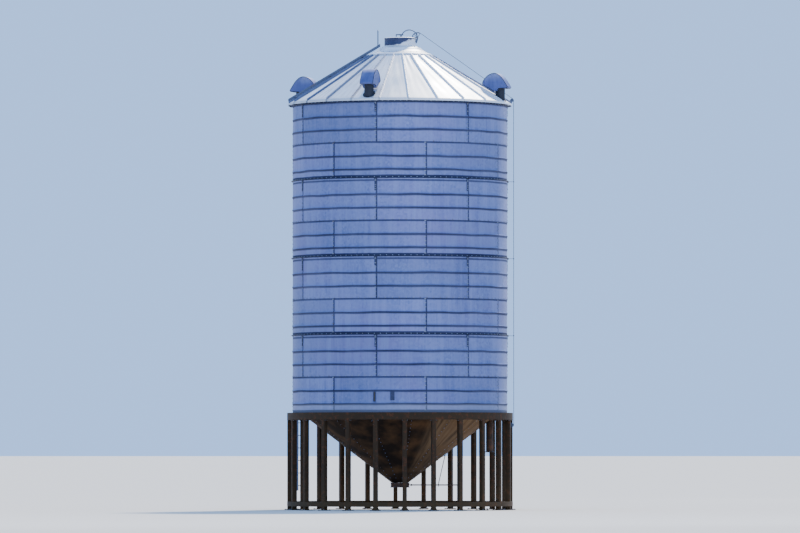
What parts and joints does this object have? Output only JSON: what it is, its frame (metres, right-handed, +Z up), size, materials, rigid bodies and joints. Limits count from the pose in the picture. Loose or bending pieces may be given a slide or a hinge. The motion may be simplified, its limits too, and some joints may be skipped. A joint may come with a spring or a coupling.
{
  "type": "elevated cone-bottom grain silo",
  "caption": "Round sheet-steel grain silo with a conical roof, hinged filler lid, roof vents and a cone hopper with a slide gate, standing on a ring of steel legs.",
  "frame": {"origin": "on the silo's axis at ground level, under the middle of the ring of feet", "axes": "+Z up along the silo's axis, -Y towards the pictured front, +X towards the side where the lid hinges and the gate slides out"},
  "size_m": [5.4936, 5.4936, 11.417],
  "materials": {
    "galvanised_wall": "weathered spangled galvanised sheet, bluish grey, satin",
    "galvanised_roof": "bright galvanised roof sheet, satin",
    "vent_steel": "dull galvanised sheet, dark at the rims",
    "painted_frame": "weathered ochre-brown paint with rust at the welds",
    "hopper_sheet": "galvanised sheet, stained brown by dust",
    "galvanised_fittings": "hot-dip galvanised steel, matt grey"
  },
  "bodies": {
    "silo": {"wall_tier_1": "galvanised_wall", "wall_tier_2": "galvanised_wall", "wall_tier_3": "galvanised_wall", "wall_tier_4": "galvanised_wall", "joint_ring_1": "galvanised_wall", "joint_ring_2": "galvanised_wall", "joint_ring_3": "galvanised_wall", "eave_ring": "galvanised_wall", "filler_collar": "galvanised_wall", "roof_cone": "galvanised_roof", "roof_crown": "galvanised_roof", "vent_front": "vent_steel", "vent_right": "vent_steel", "vent_back": "vent_steel", "vent_left": "vent_steel", "ring_beam": "painted_frame", "base_ring": "painted_frame", "leg_01": "painted_frame", "leg_02": "painted_frame", "leg_03": "painted_frame", "leg_04": "painted_frame", "leg_05": "painted_frame", "leg_06": "painted_frame", "leg_07": "painted_frame", "leg_08": "painted_frame", "leg_09": "painted_frame", "leg_10": "painted_frame", "leg_11": "painted_frame", "leg_12": "painted_frame", "leg_13": "painted_frame", "leg_14": "painted_frame", "leg_15": "painted_frame", "leg_16": "painted_frame", "leg_17": "painted_frame", "leg_18": "painted_frame", "leg_19": "painted_frame", "leg_20": "painted_frame", "leg_21": "painted_frame", "leg_22": "painted_frame", "leg_23": "painted_frame", "leg_24": "painted_frame", "hopper_cone": "hopper_sheet", "outlet_housing": "galvanised_fittings", "rod_guide": "galvanised_fittings", "lid_hinge_bracket": "galvanised_fittings", "lid_cable": "galvanised_fittings", "eave_pulley": "galvanised_fittings", "hand_winch": "galvanised_fittings", "roof_ladder": "galvanised_fittings", "wall_ladder": "galvanised_fittings", "aeration_inlet": "galvanised_fittings", "cable_guide_1": "galvanised_fittings", "cable_guide_2": "galvanised_fittings", "cable_guide_3": "galvanised_fittings"},
    "lid": {"lid": "galvanised_roof"},
    "gate": {"slide_gate": "galvanised_fittings"}
  },
  "joints": [
    {"name": "lid_hinge", "type": "hinge", "parent": "silo", "child": "lid", "pos_m": [0.415, 0, 11.215], "axis": [0, 1, 0], "range_deg": [0, 110]},
    {"name": "gate_slide", "type": "slide", "parent": "silo", "child": "gate", "axis": [1, 0, 0], "range_m": [0, 0.3]}
  ]
}
